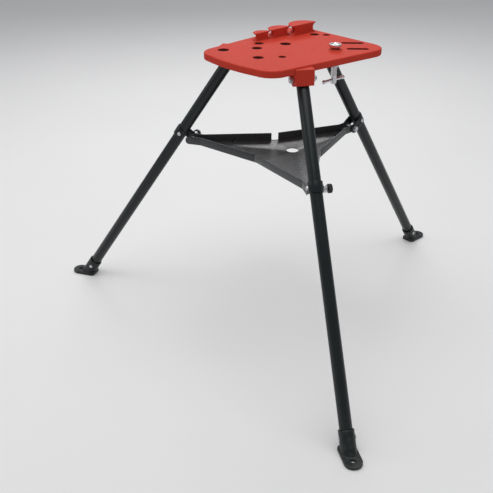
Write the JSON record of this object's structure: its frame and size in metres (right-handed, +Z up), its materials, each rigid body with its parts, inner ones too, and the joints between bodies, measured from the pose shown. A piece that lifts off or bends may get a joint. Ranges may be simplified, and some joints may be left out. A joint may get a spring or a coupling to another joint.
{
  "type": "tripod vise stand",
  "caption": "Folding tripod stand with a red cast work plate, pipe-bending formers and tool holes, splayed tube legs with bolt-down feet, and a hinged star-shaped tool tray.",
  "frame": {"origin": "on the floor, under the middle of the stand's bounding box", "axes": "+X to the right across the pair of front legs, +Y to the single rear leg, +Z up out of the bench top"},
  "size_m": [1.252, 1.0904, 0.828],
  "materials": {
    "red_coat": "red powder coat on cast aluminium",
    "black_coat": "semi-gloss black paint on steel",
    "tray_coat": "dark grey semi-gloss paint on sheet steel",
    "zinc_steel": "zinc-plated steel",
    "bright_steel": "bright turned steel",
    "black_plastic": "moulded black plastic"
  },
  "bodies": {
    "top": {"bench_top": "red_coat", "pivot_bolt_front_left": "zinc_steel", "pivot_nut_front_left": "zinc_steel", "pivot_head_washer_front_left": "zinc_steel", "pivot_nut_washer_front_left": "zinc_steel", "pivot_bolt_front_right": "zinc_steel", "pivot_nut_front_right": "zinc_steel", "pivot_head_washer_front_right": "zinc_steel", "pivot_nut_washer_front_right": "zinc_steel", "pivot_bolt_rear": "zinc_steel", "pivot_nut_rear": "zinc_steel", "pivot_head_washer_rear": "zinc_steel", "pivot_nut_washer_rear": "zinc_steel", "brace_jam_nut": "zinc_steel"},
    "leg_front_left": {"leg_tube_front_left": "black_coat", "pivot_bush_front_left": "zinc_steel", "leg_plug_front_left": "black_plastic", "foot_front_left": "black_coat", "foot_pin_front_left": "zinc_steel", "tray_bracket_front_left": "black_coat", "bracket_bolt_front_left": "zinc_steel", "bracket_nut_front_left": "zinc_steel", "pin_housing_front_left": "zinc_steel", "pin_spring_front_left": "zinc_steel"},
    "leg_front_right": {"leg_tube_front_right": "black_coat", "pivot_bush_front_right": "zinc_steel", "leg_plug_front_right": "black_plastic", "foot_front_right": "black_coat", "foot_pin_front_right": "zinc_steel", "tray_bracket_front_right": "black_coat", "bracket_bolt_front_right": "zinc_steel", "bracket_nut_front_right": "zinc_steel", "pin_housing_front_right": "zinc_steel", "pin_spring_front_right": "zinc_steel"},
    "leg_rear": {"leg_tube_rear": "black_coat", "pivot_bush_rear": "zinc_steel", "leg_plug_rear": "black_plastic", "foot_rear": "black_coat", "foot_pin_rear": "zinc_steel", "tray_bracket_rear": "black_coat", "bracket_bolt_rear": "zinc_steel", "bracket_nut_rear": "zinc_steel", "tray_hinge_bolt": "zinc_steel", "tray_hinge_nut": "zinc_steel", "tray_hinge_head_washer": "zinc_steel", "tray_hinge_nut_washer": "zinc_steel"},
    "tray": {"tray": "tray_coat", "tray_hinge_spacer": "zinc_steel"},
    "pin_front_left": {"pull_pin_front_left": "bright_steel", "pin_knob_front_left": "black_plastic"},
    "pin_front_right": {"pull_pin_front_right": "bright_steel", "pin_knob_front_right": "black_plastic"},
    "brace_cup": {"brace_cup": "bright_steel"},
    "brace_screw": {"brace_screw": "bright_steel", "brace_bar": "bright_steel"}
  },
  "joints": [
    {"name": "tray_fold", "type": "hinge", "parent": "leg_rear", "child": "tray", "pos_m": [0, 0.10484, 0.518], "axis": [1, 0, 0], "range_deg": [0, 124]},
    {"name": "leg_fold_front_left", "type": "hinge", "parent": "top", "child": "leg_front_left", "pos_m": [-0.13337, -0.25108, 0.764], "axis": [0.5, -0.866, 0], "range_deg": [0, 34]},
    {"name": "leg_fold_front_right", "type": "hinge", "parent": "top", "child": "leg_front_right", "pos_m": [0.13337, -0.25108, 0.764], "axis": [0.5, 0.866, 0], "range_deg": [0, 34]},
    {"name": "leg_fold_rear", "type": "hinge", "parent": "top", "child": "leg_rear", "pos_m": [0, -0.02008, 0.764], "axis": [-1, 0, 0], "range_deg": [0, 34]},
    {"name": "pin_pull_front_left", "type": "slide", "parent": "leg_front_left", "child": "pin_front_left", "axis": [-0.5, 0.866, 0], "range_m": [0, 0.008], "stiffness_N_per_m": 900, "springref_m": -0.004, "deforming": ["pin_spring_front_left"]},
    {"name": "pin_pull_front_right", "type": "slide", "parent": "leg_front_right", "child": "pin_front_right", "axis": [0.5, 0.866, 0], "range_m": [0, 0.008], "stiffness_N_per_m": 900, "springref_m": -0.004, "deforming": ["pin_spring_front_right"]},
    {"name": "brace_rise", "type": "slide", "parent": "top", "child": "brace_cup", "axis": [0, 0, 1], "range_m": [0, 0.028]},
    {"name": "brace_turn", "type": "hinge", "parent": "brace_cup", "child": "brace_screw", "pos_m": [0.09, -0.08408, 0.8], "axis": [0, 0, 1], "range_deg": [0, 2520]}
  ],
  "couplings": [
    {"joint": "leg_fold_front_left", "follows": "tray_fold", "ratio": 0.27419},
    {"joint": "leg_fold_front_right", "follows": "tray_fold", "ratio": 0.27419},
    {"joint": "leg_fold_rear", "follows": "tray_fold", "ratio": 0.27419},
    {"joint": "brace_turn", "follows": "brace_rise", "rad_per_m": 1570.8}
  ]
}
